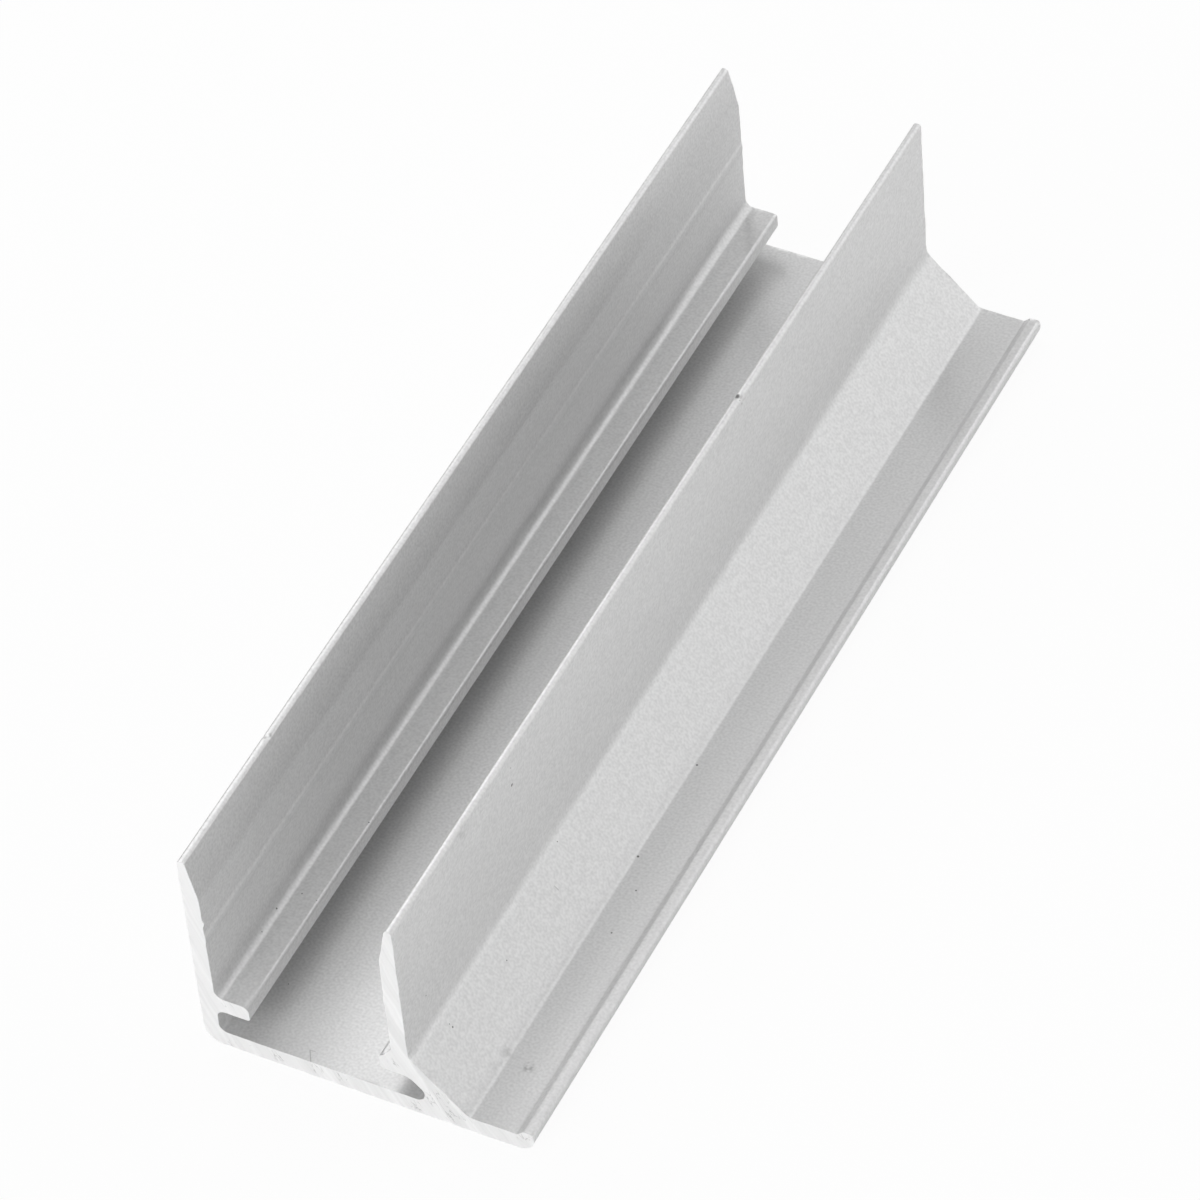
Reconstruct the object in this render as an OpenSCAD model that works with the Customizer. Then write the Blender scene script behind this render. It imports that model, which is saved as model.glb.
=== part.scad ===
// Aluminium extrusion profile: one piece of stock sawn square at both ends.
// The die section is a panel channel between two tapered walls, with an undercut slot along the floor,
// and a 45 degree web that carries a beaded flange outside the channel.
// The length runs along Y, and the origin is at the middle of the underside.

/* [Stock] */
// Length between the sawn ends
length = 119; // [20:1:600]

/* [Walls] */
// Thickness of the base plate
base_t = 2; // [1.8:0.1:3.5]
// Thickness of the two upright walls
wall_t = 1.8; // [1.4:0.1:3]
// Clear width between the two walls
channel_w = 19.4; // [10:0.1:50]
// Height of the parallel part of the walls above the lips
plain_h = 14.35; // [10:0.05:50]
// Height of the tapered part at the top of the walls
taper_h = 5; // [2:0.1:12]
// Thickness of the walls at their tips
tip_t = 0.8; // [0.7:0.05:1.35]

/* [Grip ribs] */
// Distance from the start of the taper down to the middle of the rib
rib_drop = 5.7; // [2:0.1:11]
// Height of the foot of the low rib along each wall
rib_w = 1.9; // [1:0.1:8]
// How far the rib stands out from its wall
rib_out = 0.1; // [0.05:0.01:0.3]

/* [Undercut slot] */
// Height of the slot under the lips
slot_h = 3.1; // [2.5:0.1:6]
// Thickness of the lips over the slot
lip_t = 1.95; // [1.2:0.05:3]
// How far the long lip stands out from the left wall
lip_out = 3.7; // [1.8:0.1:8]
// How far the short lip stands out from the right wall
stub_out = 1.45; // [1.4:0.05:4]

/* [Web and flange] */
// Slope of the web below the horizontal, in degrees
web_slope = 45; // [38:1:55]
// Thickness of the web
web_t = 2.2; // [1.4:0.1:3]
// Height of the web's outer root above the top of the lips
web_rise = 0.95; // [0:0.05:3]
// Width of the flange outside the foot of the web
flange_w = 7; // [4:0.1:30]
// Width of the top of the bead along the flange's edge
bead_w = 1.15; // [0.8:0.05:2]
// Height of the bead above the flange
bead_h = 0.65; // [0.5:0.05:1.2]

/* [Corner radii] */
// Outer corners at the two edges of the underside
edge_r = 2; // [0.5:0.1:2.2]
// Tips of the walls
tip_r = 0.35; // [0.1:0.05:0.4]
// Soft shoulder where the walls start to taper
shoulder_r = 4; // [1:0.5:12]
// Edges of the lips
lip_r = 0.35; // [0.1:0.05:0.4]
// Inner corners where the lips leave the walls
lip_root_r = 1; // [0.3:0.1:1.05]
// Closed left end of the slot
slot_r = 0.9; // [0.3:0.1:1.5]
// Bend from the slot's ceiling into the web
ceiling_r = 2; // [0.5:0.1:4]
// Pocket between the web and the floor of the slot
pocket_r = 1.1; // [0.3:0.05:1.45]
// Hollow between the right wall and the web
root_r = 2; // [0.5:0.1:5]
// Hollow between the web and the flange
foot_r = 1.2; // [0.3:0.1:5]
// Top edges and foot of the bead
bead_r = 0.4; // [0.1:0.05:0.5]

/* [Hidden] */
$fn = 360;
// How far a corner's sliver laps past the corner, and its circle past the tangent lines,
// so that sides cross and never lie on one line
LAP = 0.2;
BITE = 0.0005;

// Levels up the section
slot_top = base_t + slot_h;
lip_top = slot_top + lip_t;
taper_z = lip_top + plain_h;
height = taper_z + taper_h;
rib_z = taper_z - rib_drop;

// Places across the section, from the left face
right_in = wall_t + channel_w;
right_out = right_in + wall_t;
web_z = lip_top + web_rise;
foot_x = right_out + (web_z - base_t) / tan(web_slope);
width = foot_x + flange_w;

// Place of the web's inner face at a height
function web_inner_x(z) = right_out - (web_t + (z - web_z) * cos(web_slope)) / sin(web_slope);

// The rib is one arc, which leaves the wall at the ends of the rib's foot
rib_r = (rib_w * rib_w / 4 + rib_out * rib_out) / (2 * rib_out);

// Corners of the section as [x, z, radius], anticlockwise from the lower left
corners = [
    // Underside and beaded flange
    [0, 0, edge_r],
    [width, 0, edge_r],
    [width, base_t + bead_h, bead_r],
    [width - bead_w, base_t + bead_h, bead_r],
    [width - bead_w - bead_h, base_t, bead_r],
    // Web and right wall, up the outside and down the channel side
    [foot_x, base_t, foot_r],
    [right_out, web_z, root_r],
    [right_out, height, tip_r],
    [right_out - tip_t, height, tip_r],
    [right_in, taper_z, shoulder_r],
    // Short lip and the slot below it
    [right_in, lip_top, lip_root_r],
    [right_in - stub_out, lip_top, lip_r],
    [right_in - stub_out, slot_top, lip_r],
    [web_inner_x(slot_top), slot_top, ceiling_r],
    [web_inner_x(base_t), base_t, pocket_r],
    [wall_t, base_t, slot_r],
    [wall_t, slot_top, slot_r],
    // Long lip and left wall
    [wall_t + lip_out, slot_top, lip_r],
    [wall_t + lip_out, lip_top, lip_r],
    [wall_t, lip_top, lip_root_r],
    [wall_t, taper_z, shoulder_r],
    [tip_t, height, tip_r],
    [0, height, tip_r],
];

// Corner point by index, counted round the section
function point(i) = let (c = corners[(i + len(corners)) % len(corners)]) [c[0], c[1]];

// A convex corner turns left on the way round
function is_convex(i) = cross(point(i) - point(i - 1), point(i + 1) - point(i)) > 0;

// Point just past a corner, tangent point, arc centre and tangent point of a rounded corner
function kite(i) =
    let (
        to_last = point(i - 1) - point(i),
        to_next = point(i + 1) - point(i),
        u = to_last / norm(to_last),
        v = to_next / norm(to_next),
        inward = (u + v) / norm(u + v),
        half_angle = acos(u * v) / 2,
        tangent = corners[i][2] / tan(half_angle),
        centre = corners[i][2] / sin(half_angle) * inward
    )
    [point(i) - LAP * inward, point(i) + tangent * u, point(i) + centre, point(i) + tangent * v];

// Sliver between a corner and its arc
module spandrel(i) {
    difference() {
        polygon(kite(i));
        translate(kite(i)[2]) circle(r = corners[i][2] + BITE);
    }
}

// Slivers of the corners that are convex, or of those that are not
module spandrels(convex) {
    for (i = [0:len(corners) - 1])
        if (is_convex(i) == convex) spandrel(i);
}

// Low rib on a wall's channel side: a shallow slice of a circle, rooted in the wall
module rib(face_x, facing) {
    intersection() {
        translate([face_x + facing * (rib_out - rib_r), rib_z]) circle(r = rib_r);
        translate([face_x, rib_z]) square([wall_t, 2 * rib_w], center = true);
    }
}

module section() {
    difference() {
        union() {
            polygon([for (i = [0:len(corners) - 1]) point(i)]);
            spandrels(convex = false);
            rib(wall_t, facing = 1);
            rib(right_in, facing = -1);
        }
        spandrels(convex = true);
    }
}

module profile() {
    color("silver")
        rotate([90, 0, 0])
            linear_extrude(height = length, center = true)
                translate([-width / 2, 0]) section();
}

profile();
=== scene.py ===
"""Looks of a short sawn length of aluminium extrusion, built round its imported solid.

The solid's own end outline is swept along the length again, with rings close enough for sawn rims and
small nicks. The long faces get a matte anodised finish and the two ends a bare, sawn one.
"""

import math

import bmesh
import bpy
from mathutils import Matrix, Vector, noise
from mathutils.bvhtree import BVHTree
from mathutils.geometry import delaunay_2d_cdt


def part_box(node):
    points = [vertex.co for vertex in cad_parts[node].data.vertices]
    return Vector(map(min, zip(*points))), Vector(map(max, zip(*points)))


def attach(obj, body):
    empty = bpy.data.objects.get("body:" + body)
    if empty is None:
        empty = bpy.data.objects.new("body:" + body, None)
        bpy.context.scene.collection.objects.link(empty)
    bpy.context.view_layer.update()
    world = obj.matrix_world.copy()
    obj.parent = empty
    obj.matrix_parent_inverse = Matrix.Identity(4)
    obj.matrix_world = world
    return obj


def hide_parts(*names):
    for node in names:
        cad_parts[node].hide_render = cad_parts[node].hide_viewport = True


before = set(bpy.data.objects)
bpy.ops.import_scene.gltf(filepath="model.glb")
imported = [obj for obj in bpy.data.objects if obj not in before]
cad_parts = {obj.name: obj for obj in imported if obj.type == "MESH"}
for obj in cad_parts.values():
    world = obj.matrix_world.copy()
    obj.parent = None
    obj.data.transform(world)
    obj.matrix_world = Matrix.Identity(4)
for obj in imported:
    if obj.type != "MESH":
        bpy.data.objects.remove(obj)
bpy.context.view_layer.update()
NODE = "profile"
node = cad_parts[NODE]
MM = 0.001
# Points nearer than this are one point, and edges sharper than this in degrees are shaded as edges
SAME = 0.002 * MM
SHARP = 30

# Camera at the photograph's viewing angle, in degrees, metres and millimetres
IMAGE_SIDE = 1200
SENSOR = 36.0
LENS = 206.4
AZIMUTH = 30.45
ELEVATION = 46.94
ROLL = -5.56
AIM = Vector((-4.59, 1.13, 8.0)) * MM
DISTANCE = 0.695

# Studio: sines of the elevations where the pale horizon band fades, its level and the level overhead
HORIZON_TOP = (0.25, 0.45)
HORIZON = 1.1
OVERHEAD = 1.57
# Patches of sky: azimuth, elevation, outer and inner reach in degrees, and the factor on the level there
SKY_PATCHES = (
    (167, 38, 63, 26, 0.0),
    (345, 46, 57, 26, 0.03),
    (345, 3, 44, 18, 5.7),
    (66, 14, 44, 15, 1.15),
    (250, 8, 45, 18, 2.2),
)
# Softbox: azimuth and elevation, distance and width in metres, brightness of its face
SOFTBOX_AT = (154, 48)
SOFTBOX_AWAY = 1.0
SOFTBOX_WIDTH = 0.90
SOFTBOX_LEVEL = 2.0
# Floor: half its width in metres, its paint, and the share of glow as seen and in the part's reflections
FLOOR_REACH = 3.0
FLOOR_PAINT = 0.86
GLOW_SEEN = 0.94
GLOW_MIRRORED = 0.1

# Sawn rims, in millimetres: step round the outline, height and reach of the roughness, depths of the rings
RIM_STEP = 0.4
RIM_BURR = 0.05
RIM_REACH = 0.25
RIM_DEPTHS = (0.0, 0.05, 0.12, RIM_REACH, 0.5, 1.0, 2.0, 4.0)
RING_STEP = 4.0
# Roughness of the rims: waves per millimetre, share of the height, and a seed that differs at the two ends
RIM_WAVES = ((0.6, 1.0, 17.0), (1.7, 0.6, 31.0))
# Burrs left on the near rim: place across and up the end, reach and height
BURRS = (((2.9, 7.5), 1.0, 0.5), ((-16.1, 18.0), 0.5, 0.2))

# Upper edge of the long lip, worn rounder at the near end: place across and up the end, radius and reach
WORN_EDGE = (-12.5, 7.05)
WORN_RADIUS = 0.8
WORN_REACH = 2.0
# How far from the worn edge's middle the square corner may lie, in radii
CORNER_SPAN = 1.5

# Nicks on the tips of the walls: pixel in the photograph, half length and depth in millimetres
NICKS = (((737.5, 397.5), 0.5, 0.16), ((270.0, 737.0), 0.4, 0.10))
# Rings over a nick, and one more on each side at this share of its half length
NICK_RINGS = 7
NICK_GUARD = 1.3
# How far a nick reaches across the wall and down from its tip, in millimetres
NICK_ACROSS = 2.0
NICK_DOWN = 0.5

# Specks of dirt: pixel in the photograph and radius in millimetres
SPECKS = (
    ((511.9, 785.0), 0.22), ((510.5, 768.0), 0.09), ((557.4, 841.6), 0.09), ((506.8, 960.4), 0.09),
    ((426.0, 995.6), 0.10), ((452.7, 1027.0), 0.12), ((449.5, 1024.0), 0.07), ((638.0, 856.5), 0.16),
    ((636.0, 890.5), 0.12), ((611.6, 932.8), 0.12), ((697.0, 765.0), 0.14), ((368.9, 822.5), 0.10),
    ((302.0, 893.5), 0.10), ((316.6, 900.5), 0.08), ((276.7, 908.5), 0.12), ((262.0, 931.8), 0.08),
    ((288.5, 984.0), 0.08), ((737.0, 395.8), 0.36),
)

# Broad faint stains: pixel in the photograph, radius in millimetres and strength
STAINS = (((528.5, 1067.5), 0.8, 0.45), ((507.0, 1053.0), 0.9, 0.22), ((462.0, 832.0), 1.6, 0.16))

# Fine scratches: pixels of the two ends in the photograph and half width in millimetres
SCRATCHES = (
    ((310.0, 1050.0), (310.8, 1061.5), 0.07), ((310.0, 1050.0), (316.0, 1052.0), 0.05),
    ((554.5, 886.0), (558.5, 890.0), 0.06), ((739.0, 399.5), (742.0, 404.0), 0.10),
)

# Middle of the saw blade's sweep over the ends, in metres
BLADE_HUB = (0.13, 0.0, 0.07)
# Tear-outs on the near end: pixel in the photograph and reach in millimetres
TEARS = (
    ((232.0, 1043.0), 0.6), ((254.0, 1049.0), 0.6), ((278.0, 1056.0), 0.9), ((317.0, 1069.0), 0.8),
    ((341.0, 1077.0), 0.8), ((417.0, 1106.0), 0.9), ((437.0, 1100.0), 1.7), ((452.0, 1116.0), 1.1),
    ((228.0, 1004.0), 0.9), ((394.0, 1063.0), 0.8), ((466.0, 1119.0), 0.9), ((525.0, 1139.0), 1.0),
)

# Painted highlight and painted shade along the rib on the left wall, lighter above its crest and darker below
# it where light from above falls: place and reach across, then height, reach and change of tone of its two
# edges
RIB_X = -16.1
RIB_ACROSS = 0.3
RIB_HIGHLIGHT_AND_SHADE = ((16.2, 0.45, 0.20), (15.0, 0.6, -0.10))

# Anodised finish: tone, and the waves per metre and change of tone of its grain, lines and clouds
TONE = 0.72
GRAIN = (3500, 0.20)
LINES = (1500, 0.04)
LINES_STRETCH = (1, 0.004, 1)
CLOUDS = (90, 0.03)
# Waves per metre of the patches inside a stain, and how much specks and scratches darken the tone
STAIN_PATCHES = 1800
SPECK_DARKNESS = 0.8
SCRATCH_DARKNESS = 0.35

# Sawn finish: tone, change of tone by saw marks and tear-outs, and waves per metre of broad and fine marks
SAWN_TONE = 0.90
MARK_DEPTH = 0.16
TEAR_DEPTH = -0.28
BROAD_MARKS = 650
FINE_MARKS = 2600
# Waves per metre of the tear-outs, across the blade's sweep and along it
TEARS_ACROSS = 1700
TEARS_ALONG = 500


def camera_axes():
    """Right, up and forward of the camera, as unit vectors."""
    azimuth, elevation, roll = (math.radians(a) for a in (AZIMUTH, ELEVATION, ROLL))
    level = math.cos(elevation)
    forward = Vector((-math.sin(azimuth) * level, math.cos(azimuth) * level, -math.sin(elevation)))
    level_right = forward.cross(Vector((0, 0, 1))).normalized()
    level_up = level_right.cross(forward)
    up = math.cos(roll) * level_up - math.sin(roll) * level_right
    return forward.cross(up), up, forward


def add_camera():
    """Camera that looks at the part as the photograph does."""
    right, up, forward = camera_axes()
    data = bpy.data.cameras.new("camera")
    data.sensor_width = SENSOR
    data.lens = LENS
    data.clip_start = 0.01
    camera = bpy.data.objects.new("camera", data)
    bpy.context.collection.objects.link(camera)
    for column, axis in enumerate((right, up, -forward)):
        for row in range(3):
            camera.matrix_world[row][column] = axis[row]
    camera.matrix_world.translation = AIM - DISTANCE * forward
    bpy.context.scene.camera = camera


def search_tree():
    """Search tree over the solid's mesh."""
    mesh = node.data
    return BVHTree.FromPolygons([v.co for v in mesh.vertices], [p.vertices for p in mesh.polygons])


def on_part(pixel, tree):
    """Point of the part that a pixel of the photograph shows."""
    right, up, forward = camera_axes()
    focal = LENS / SENSOR * IMAGE_SIDE
    across = (pixel[0] - IMAGE_SIDE / 2) / focal
    down = (pixel[1] - IMAGE_SIDE / 2) / focal
    aside = across * right - down * up
    hit = tree.ray_cast(AIM - DISTANCE * forward, (forward + aside).normalized())[0]
    return hit or tree.find_nearest(AIM + aside * DISTANCE)[0]


def end_outline():
    """Points (x, z) round the near end of the solid, anticlockwise, in metres."""
    mesh = node.data
    near = min(v.co.y for v in mesh.vertices)
    uses = {}
    for polygon in mesh.polygons:
        if max(mesh.vertices[i].co.y for i in polygon.vertices) - near > SAME:
            continue
        for edge in polygon.edge_keys:
            uses[edge] = uses.get(edge, 0) + 1
    links = {}
    for a, b in (edge for edge, count in uses.items() if count == 1):
        links.setdefault(a, []).append(b)
        links.setdefault(b, []).append(a)
    order = [min(links)]
    order.append(links[order[0]][0])
    while len(order) < len(links):
        order += [i for i in links[order[-1]] if i != order[-2]]
    loop = []
    for place in (mesh.vertices[i].co for i in order):
        point = (place.x, place.z)
        if not loop or math.dist(point, loop[-1]) > SAME:
            loop.append(point)
    area = sum(a[0] * b[1] - b[0] * a[1] for a, b in zip(loop, loop[1:] + loop[:1]))
    return loop if area > 0 else loop[::-1]


def fill_in(loop, step):
    """The outline with more points on its straight stretches, none further apart than step."""
    out = []
    for a, b in zip(loop, loop[1:] + loop[:1]):
        count = max(1, math.ceil(math.dist(a, b) / step))
        out += [tuple(p + (q - p) * i / count for p, q in zip(a, b)) for i in range(count)]
    return out


def worn(x, z, share):
    """A point of the outline, moved a share of the way onto the long lip's worn edge if it lies there."""
    centre = (Vector(WORN_EDGE) - Vector((WORN_RADIUS, WORN_RADIUS))) * MM
    arm = Vector((x, z)) - centre
    radius = WORN_RADIUS * MM
    if min(arm) > 0 and radius < arm.length < CORNER_SPAN * radius:
        length = arm.length + share * (radius - arm.length)
        return centre + arm.normalized() * length
    return x, z


def outward(loop):
    """Unit outward direction at each point of the outline."""
    directions = []
    for before, after in zip(loop[-1:] + loop[:-1], loop[1:] + loop[:1]):
        along = Vector((after[0] - before[0], after[1] - before[1])).normalized()
        directions.append((along.y, -along.x))
    return directions


def ring_places(near, far, nick_points):
    """Places of the rings along the length: close at both ends and round each nick."""
    places = {near + d * MM for d in RIM_DEPTHS} | {far - d * MM for d in RIM_DEPTHS}
    count = round((far - near) / (RING_STEP * MM))
    places |= {near + (far - near) * i / count for i in range(2, count - 1)}
    for point, half_length, _ in nick_points:
        spread = [half_length * MM * (2 * i / (NICK_RINGS - 1) - 1) for i in range(NICK_RINGS)]
        guard = NICK_GUARD * half_length * MM
        places |= {point.y + s for s in (*spread, -guard, guard)}
    return sorted(places)


def rim_burr(x, z, at_end):
    """How far a sawn rim stands out, or is chipped in, at a point of the outline, in metres."""
    spot = (x / MM, z / MM)
    height = 0.0
    for waves, share, seed in RIM_WAVES:
        height += RIM_BURR * share * noise.noise(Vector((*spot, at_end * seed)) * waves)
    for place, reach, rise in BURRS if at_end == 0 else ():
        away = math.dist(spot, place) / reach
        height += rise * max(0.0, 1 - away * away)
    return height * MM


def build_skin(tree):
    """The part's visible mesh: its end outline swept along the length, with rims and nicks."""
    loop = fill_in(end_outline(), RIM_STEP * MM)
    normals = outward(loop)
    low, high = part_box(NODE)
    near, far, top = low[1], high[1], high[2]
    nick_points = [(on_part(pixel, tree), half, depth) for pixel, half, depth in NICKS]
    mesh = bmesh.new()
    rings = []
    for y in ring_places(near, far, nick_points):
        ring = []
        wear = max(0.0, 1 - (y - near) / (WORN_REACH * MM))
        for (x, z), (nx, nz) in zip(loop, normals):
            x, z = worn(x, z, wear)
            shift = 0.0
            for at_end, end in enumerate((near, far)):
                fade = 1 - abs(y - end) / (RIM_REACH * MM)
                if fade > 0:
                    shift += rim_burr(x, z, at_end) * fade * fade
            for point, half_length, depth in nick_points:
                away = abs(y - point.y) / (half_length * MM)
                down = (top - z) / (NICK_DOWN * MM)
                if away < 1 and down < 1 and abs(x - point.x) < NICK_ACROSS * MM:
                    z -= depth * MM * (1 - away * away) * (1 - down)
            ring.append(mesh.verts.new((x + nx * shift, y, max(z + nz * shift, low[2]))))
        rings.append(ring)
    size = len(loop)
    for ring, after in zip(rings, rings[1:]):
        for i in range(size):
            j = (i + 1) % size
            face = mesh.faces.new((ring[i], ring[j], after[j], after[i]))
            face.smooth = True
    for ring in (rings[0], rings[-1]):
        flat = [Vector((v.co.x, v.co.z)) for v in ring]
        triangles = delaunay_2d_cdt(flat, [], [list(range(size))], 1, 1e-9)[2]
        for corners in triangles:
            mesh.faces.new([ring[i] for i in corners]).material_index = 1
    bmesh.ops.recalc_face_normals(mesh, faces=mesh.faces)
    data = bpy.data.meshes.new("profile_skin")
    mesh.to_mesh(data)
    mesh.free()
    data.set_sharp_from_angle(angle=math.radians(SHARP))
    skin = bpy.data.objects.new("profile_skin", data)
    bpy.context.collection.objects.link(skin)
    return skin


class Nodes:
    """Short calls for making the nodes of one material."""

    def __init__(self, name):
        self.material = bpy.data.materials.new(name)
        self.material.use_nodes = True
        self.tree = self.material.node_tree
        self.tree.nodes.clear()
        self.output = self.add("ShaderNodeOutputMaterial")
        self.place = self.add("ShaderNodeTexCoord").outputs["Object"]

    def add(self, kind, **settings):
        made = self.tree.nodes.new(kind)
        for key, value in settings.items():
            setattr(made, key, value)
        return made

    def feed(self, socket, value):
        if isinstance(value, bpy.types.NodeSocket):
            self.tree.links.new(value, socket)
        else:
            socket.default_value = value

    def math(self, operation, a, b=0.0, c=0.0, clamp=False):
        made = self.add("ShaderNodeMath", operation=operation, use_clamp=clamp)
        for socket, value in zip(made.inputs, (a, b, c)):
            self.feed(socket, value)
        return made.outputs[0]

    def scaled(self, scale):
        made = self.add("ShaderNodeVectorMath", operation="MULTIPLY")
        self.feed(made.inputs[0], self.place)
        made.inputs[1].default_value = scale
        return made.outputs[0]

    def noise(self, scale, detail=3.0, stretch=(1, 1, 1)):
        made = self.add("ShaderNodeTexNoise")
        self.feed(made.inputs["Vector"], self.scaled(tuple(scale * s for s in stretch)))
        made.inputs["Scale"].default_value = 1.0
        made.inputs["Detail"].default_value = detail
        return made.outputs["Fac"]

    def ramp(self, value, low, high, to_low=0.0, to_high=1.0):
        made = self.add("ShaderNodeMapRange", clamp=True)
        for socket, v in zip(made.inputs, (value, low, high, to_low, to_high)):
            self.feed(socket, v)
        return made.outputs[0]

    def distance(self, point):
        made = self.add("ShaderNodeVectorMath", operation="DISTANCE")
        self.feed(made.inputs[0], self.place)
        made.inputs[1].default_value = point
        return made.outputs["Value"]

    def along(self, start, end):
        """Distance to the straight line between two points."""
        whole = end - start
        offset = self.add("ShaderNodeVectorMath", operation="SUBTRACT")
        self.feed(offset.inputs[0], self.place)
        offset.inputs[1].default_value = start
        share = self.add("ShaderNodeVectorMath", operation="DOT_PRODUCT")
        self.feed(share.inputs[0], offset.outputs[0])
        share.inputs[1].default_value = whole / whole.length_squared
        nearest = self.add("ShaderNodeVectorMath", operation="SCALE")
        nearest.inputs[0].default_value = whole
        self.feed(nearest.inputs["Scale"], self.math("ADD", share.outputs["Value"], 0.0, clamp=True))
        away = self.add("ShaderNodeVectorMath", operation="DISTANCE")
        self.feed(away.inputs[0], offset.outputs[0])
        self.feed(away.inputs[1], nearest.outputs[0])
        return away.outputs["Value"]

    def grey(self, value):
        made = self.add("ShaderNodeCombineColor")
        for socket in made.inputs[:3]:
            self.feed(socket, value)
        return made.outputs[0]

    def bump(self, height, strength, distance):
        made = self.add("ShaderNodeBump")
        made.inputs["Strength"].default_value = strength
        made.inputs["Distance"].default_value = distance
        self.feed(made.inputs["Height"], height)
        return made.outputs["Normal"]

    def finish(self, **sockets):
        shader = self.add("ShaderNodeBsdfPrincipled")
        for name, value in sockets.items():
            self.feed(shader.inputs[name.replace("_", " ")], value)
        self.feed(self.output.inputs["Surface"], shader.outputs[0])
        return self.material


def anodised_aluminium(tree):
    """Matte extruded finish: fine grain, faint lines along the length, specks and stains, and a painted
    highlight and painted shade along the rib on the left wall.
    """
    n = Nodes("aluminium_anodised")
    grain = n.noise(GRAIN[0], detail=0.0)
    lines = n.noise(LINES[0], detail=2.0, stretch=LINES_STRETCH)
    cloud = n.noise(CLOUDS[0], detail=3.0)
    tone = TONE
    for texture, (_, change) in ((grain, GRAIN), (lines, LINES), (cloud, CLOUDS)):
        tone = n.math("MULTIPLY_ADD", n.math("SUBTRACT", texture, 0.5), change, tone)
    split = n.add("ShaderNodeSeparateXYZ")
    n.feed(split.inputs[0], n.place)
    # Painted highlight on the rib's upper edge and painted shade on its lower edge, added to the tone of the
    # left wall's inner face
    on_wall = n.math("COMPARE", split.outputs["X"], RIB_X * MM, RIB_ACROSS * MM)
    for level, reach, change in RIB_HIGHLIGHT_AND_SHADE:
        height = n.math("SUBTRACT", split.outputs["Z"], level * MM)
        near = n.ramp(n.math("ABSOLUTE", height), 0.0, reach * MM, change, 0.0)
        tone = n.math("MULTIPLY_ADD", n.math("MULTIPLY", near, on_wall), TONE, tone)
    dirt = 0.0
    for start, end, half_width in SCRATCHES:
        away = n.along(on_part(start, tree), on_part(end, tree))
        near = n.ramp(away, 0.3 * half_width * MM, half_width * MM, SCRATCH_DARKNESS, 0.0)
        dirt = n.math("MAXIMUM", dirt, near)
    for pixel, radius in SPECKS:
        away = n.distance(on_part(pixel, tree))
        near = n.ramp(away, 0.5 * radius * MM, radius * MM, SPECK_DARKNESS, 0.0)
        dirt = n.math("MAXIMUM", dirt, near)
    patches = n.ramp(n.noise(STAIN_PATCHES, detail=2.0), 0.34, 0.56)
    for pixel, radius, strength in STAINS:
        away = n.distance(on_part(pixel, tree))
        near = n.ramp(away, 0.2 * radius * MM, radius * MM, strength, 0.0)
        dirt = n.math("MAXIMUM", dirt, n.math("MULTIPLY", near, patches))
    tone = n.math("MULTIPLY", tone, n.math("SUBTRACT", 1.0, dirt))
    rough = n.ramp(cloud, 0.3, 0.7, 0.28, 0.32)
    rough = n.math("MULTIPLY_ADD", dirt, 0.3, rough)
    height = n.math("MULTIPLY_ADD", lines, 0.5, grain)
    return n.finish(
        Base_Color=n.grey(tone),
        Metallic=0.40,
        Roughness=rough,
        Normal=n.bump(height, 0.04, 0.01 * MM),
    )


def sawn_aluminium(tree):
    """Bare sawn end: curved marks of a large blade, tear-outs and a bright fresh face."""
    n = Nodes("aluminium_sawn")
    flat = n.add("ShaderNodeVectorMath", operation="MULTIPLY")
    n.feed(flat.inputs[0], n.place)
    flat.inputs[1].default_value = (1, 0, 1)
    sweep = n.add("ShaderNodeVectorMath", operation="DISTANCE")
    n.feed(sweep.inputs[0], flat.outputs[0])
    sweep.inputs[1].default_value = BLADE_HUB
    wobble = n.math("MULTIPLY_ADD", n.noise(300, detail=2.0), 0.0008, sweep.outputs["Value"])
    fine = n.add("ShaderNodeTexNoise", noise_dimensions="1D")
    n.feed(fine.inputs["W"], wobble)
    fine.inputs["Scale"].default_value = FINE_MARKS
    fine.inputs["Detail"].default_value = 2.0
    broad = n.add("ShaderNodeTexNoise", noise_dimensions="1D")
    n.feed(broad.inputs["W"], wobble)
    broad.inputs["Scale"].default_value = BROAD_MARKS
    marks = n.math("MULTIPLY_ADD", fine.outputs["Fac"], 0.5, broad.outputs["Fac"])
    swirl = n.add("ShaderNodeCombineXYZ")
    split = n.add("ShaderNodeSeparateXYZ")
    n.feed(split.inputs[0], n.place)
    n.feed(swirl.inputs["X"], n.math("MULTIPLY", sweep.outputs["Value"], TEARS_ACROSS))
    n.feed(swirl.inputs["Y"], n.math("MULTIPLY", split.outputs["X"], TEARS_ALONG))
    n.feed(swirl.inputs["Z"], n.math("MULTIPLY", split.outputs["Z"], TEARS_ALONG))
    relief = n.add("ShaderNodeTexNoise")
    n.feed(relief.inputs["Vector"], swirl.outputs[0])
    relief.inputs["Scale"].default_value = 1.0
    relief.inputs["Detail"].default_value = 2.0
    edge = n.math("ABSOLUTE", n.math("SUBTRACT", relief.outputs["Fac"], 0.5))
    zone = 0.0
    for pixel, reach in TEARS:
        away = n.distance(on_part(pixel, tree))
        zone = n.math("MAXIMUM", zone, n.ramp(away, 0.6 * reach * MM, reach * MM, 1.0, 0.0))
    tears = n.math("MULTIPLY", n.ramp(edge, 0.006, 0.028, 1.0, 0.0), zone)
    tone = n.math("MULTIPLY_ADD", n.math("SUBTRACT", marks, 0.75), MARK_DEPTH, SAWN_TONE)
    tone = n.math("MULTIPLY_ADD", tears, TEAR_DEPTH, tone)
    height = n.math("MULTIPLY_ADD", tears, -1.0, marks)
    return n.finish(
        Base_Color=n.grey(tone),
        Metallic=0.5,
        Roughness=n.ramp(marks, 0.4, 1.1, 0.42, 0.58),
        Normal=n.bump(height, 0.3, 0.02 * MM),
    )


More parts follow.
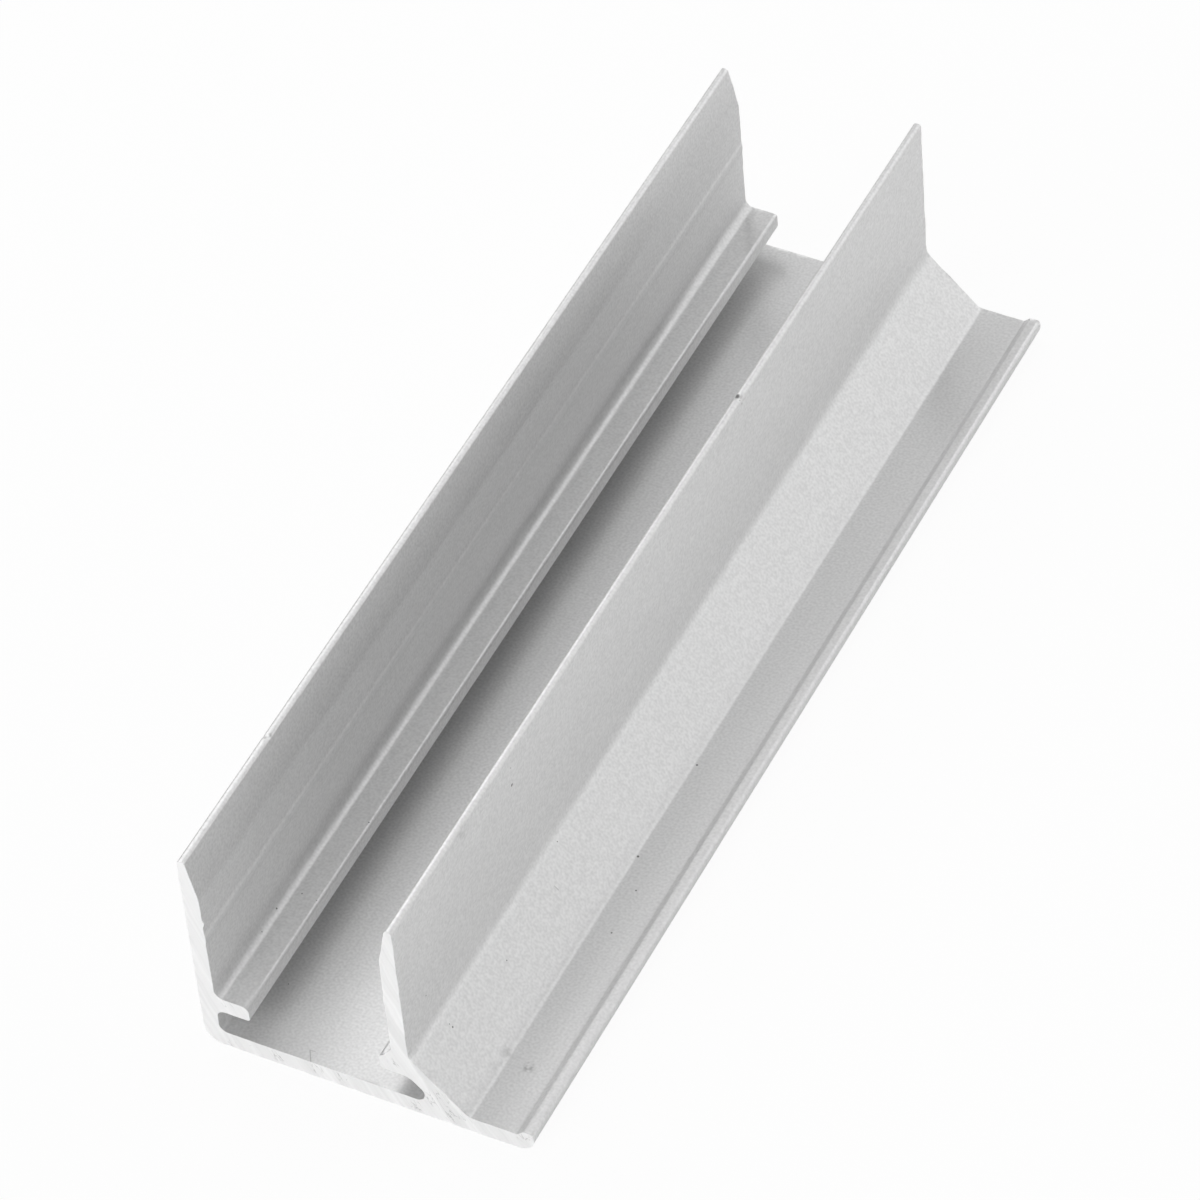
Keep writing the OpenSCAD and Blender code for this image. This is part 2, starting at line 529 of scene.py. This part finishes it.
def add_floor():
    """Large white floor, which shows as a white ground but keeps a soft shadow."""
    data = bpy.data.meshes.new("floor")
    sides = ((-1, -1), (1, -1), (1, 1), (-1, 1))
    data.from_pydata([(x * FLOOR_REACH, y * FLOOR_REACH, 0) for x, y in sides], [], [(0, 1, 2, 3)])
    floor = bpy.data.objects.new("floor", data)
    bpy.context.collection.objects.link(floor)
    n = Nodes("floor_white")
    paint = n.add("ShaderNodeBsdfDiffuse")
    paint.inputs["Color"].default_value = (FLOOR_PAINT, FLOOR_PAINT, FLOOR_PAINT, 1)
    glow = n.add("ShaderNodeEmission")
    glow.inputs["Strength"].default_value = 1.0
    rays = n.add("ShaderNodeLightPath")
    seen = n.math("MAXIMUM", rays.outputs["Is Camera Ray"], rays.outputs["Is Transmission Ray"])
    mirrored = n.math("MULTIPLY", rays.outputs["Is Glossy Ray"], GLOW_MIRRORED)
    blend = n.add("ShaderNodeMixShader")
    n.feed(blend.inputs["Fac"], n.math("MULTIPLY_ADD", seen, GLOW_SEEN, mirrored))
    n.feed(blend.inputs[1], paint.outputs[0])
    n.feed(blend.inputs[2], glow.outputs[0])
    n.feed(n.output.inputs["Surface"], blend.outputs[0])
    data.materials.append(n.material)


def direction(azimuth, elevation):
    """Unit vector towards an azimuth, counted from +X to +Y, and an elevation, both in degrees."""
    level = math.cos(math.radians(elevation))
    across = level * math.cos(math.radians(azimuth))
    along = level * math.sin(math.radians(azimuth))
    return Vector((across, along, math.sin(math.radians(elevation))))


def add_world():
    """Plain studio surroundings: a level round the horizon, another overhead, and patches of other levels."""
    world = bpy.data.worlds.new("studio")
    world.use_nodes = True
    tree = world.node_tree
    tree.nodes.clear()
    where = tree.nodes.new("ShaderNodeTexCoord")
    split = tree.nodes.new("ShaderNodeSeparateXYZ")
    tree.links.new(where.outputs["Generated"], split.inputs[0])
    height = tree.nodes.new("ShaderNodeMapRange")
    for socket, value in zip(height.inputs[1:], (*HORIZON_TOP, HORIZON, OVERHEAD)):
        socket.default_value = value
    tree.links.new(split.outputs["Z"], height.inputs[0])
    level = height.outputs[0]
    for azimuth, elevation, reach, core, factor in SKY_PATCHES:
        towards = tree.nodes.new("ShaderNodeVectorMath")
        towards.operation = "DOT_PRODUCT"
        towards.inputs[1].default_value = direction(azimuth, elevation)
        tree.links.new(where.outputs["Generated"], towards.inputs[0])
        patch = tree.nodes.new("ShaderNodeMapRange")
        patch.interpolation_type = "SMOOTHSTEP"
        edges = (math.cos(math.radians(reach)), math.cos(math.radians(core)))
        for socket, value in zip(patch.inputs[1:], (*edges, 1.0, factor)):
            socket.default_value = value
        tree.links.new(towards.outputs["Value"], patch.inputs[0])
        product = tree.nodes.new("ShaderNodeMath")
        product.operation = "MULTIPLY"
        tree.links.new(level, product.inputs[0])
        tree.links.new(patch.outputs[0], product.inputs[1])
        level = product.outputs[0]
    background = tree.nodes.new("ShaderNodeBackground")
    background.inputs["Color"].default_value = (1, 1, 1, 1)
    output = tree.nodes.new("ShaderNodeOutputWorld")
    tree.links.new(level, background.inputs["Strength"])
    tree.links.new(background.outputs[0], output.inputs["Surface"])
    bpy.context.scene.world = world


def add_softbox():
    """One round softbox that faces the part."""
    data = bpy.data.lights.new("softbox", "AREA")
    data.shape = "DISK"
    data.size = SOFTBOX_WIDTH
    data.energy = SOFTBOX_LEVEL * math.pi * math.pi * SOFTBOX_WIDTH ** 2 / 4
    light = bpy.data.objects.new("softbox", data)
    bpy.context.collection.objects.link(light)
    away = direction(*SOFTBOX_AT)
    light.location = SOFTBOX_AWAY * away
    light.rotation_euler = (-away).to_track_quat("-Z", "Y").to_euler()


add_camera()
surface = search_tree()
skin = build_skin(surface)
skin.data.materials.append(anodised_aluminium(surface))
skin.data.materials.append(sawn_aluminium(surface))
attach(skin, "root")
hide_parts(NODE)

add_floor()
add_world()
add_softbox()

bpy.context.scene.view_settings.view_transform = "Standard"
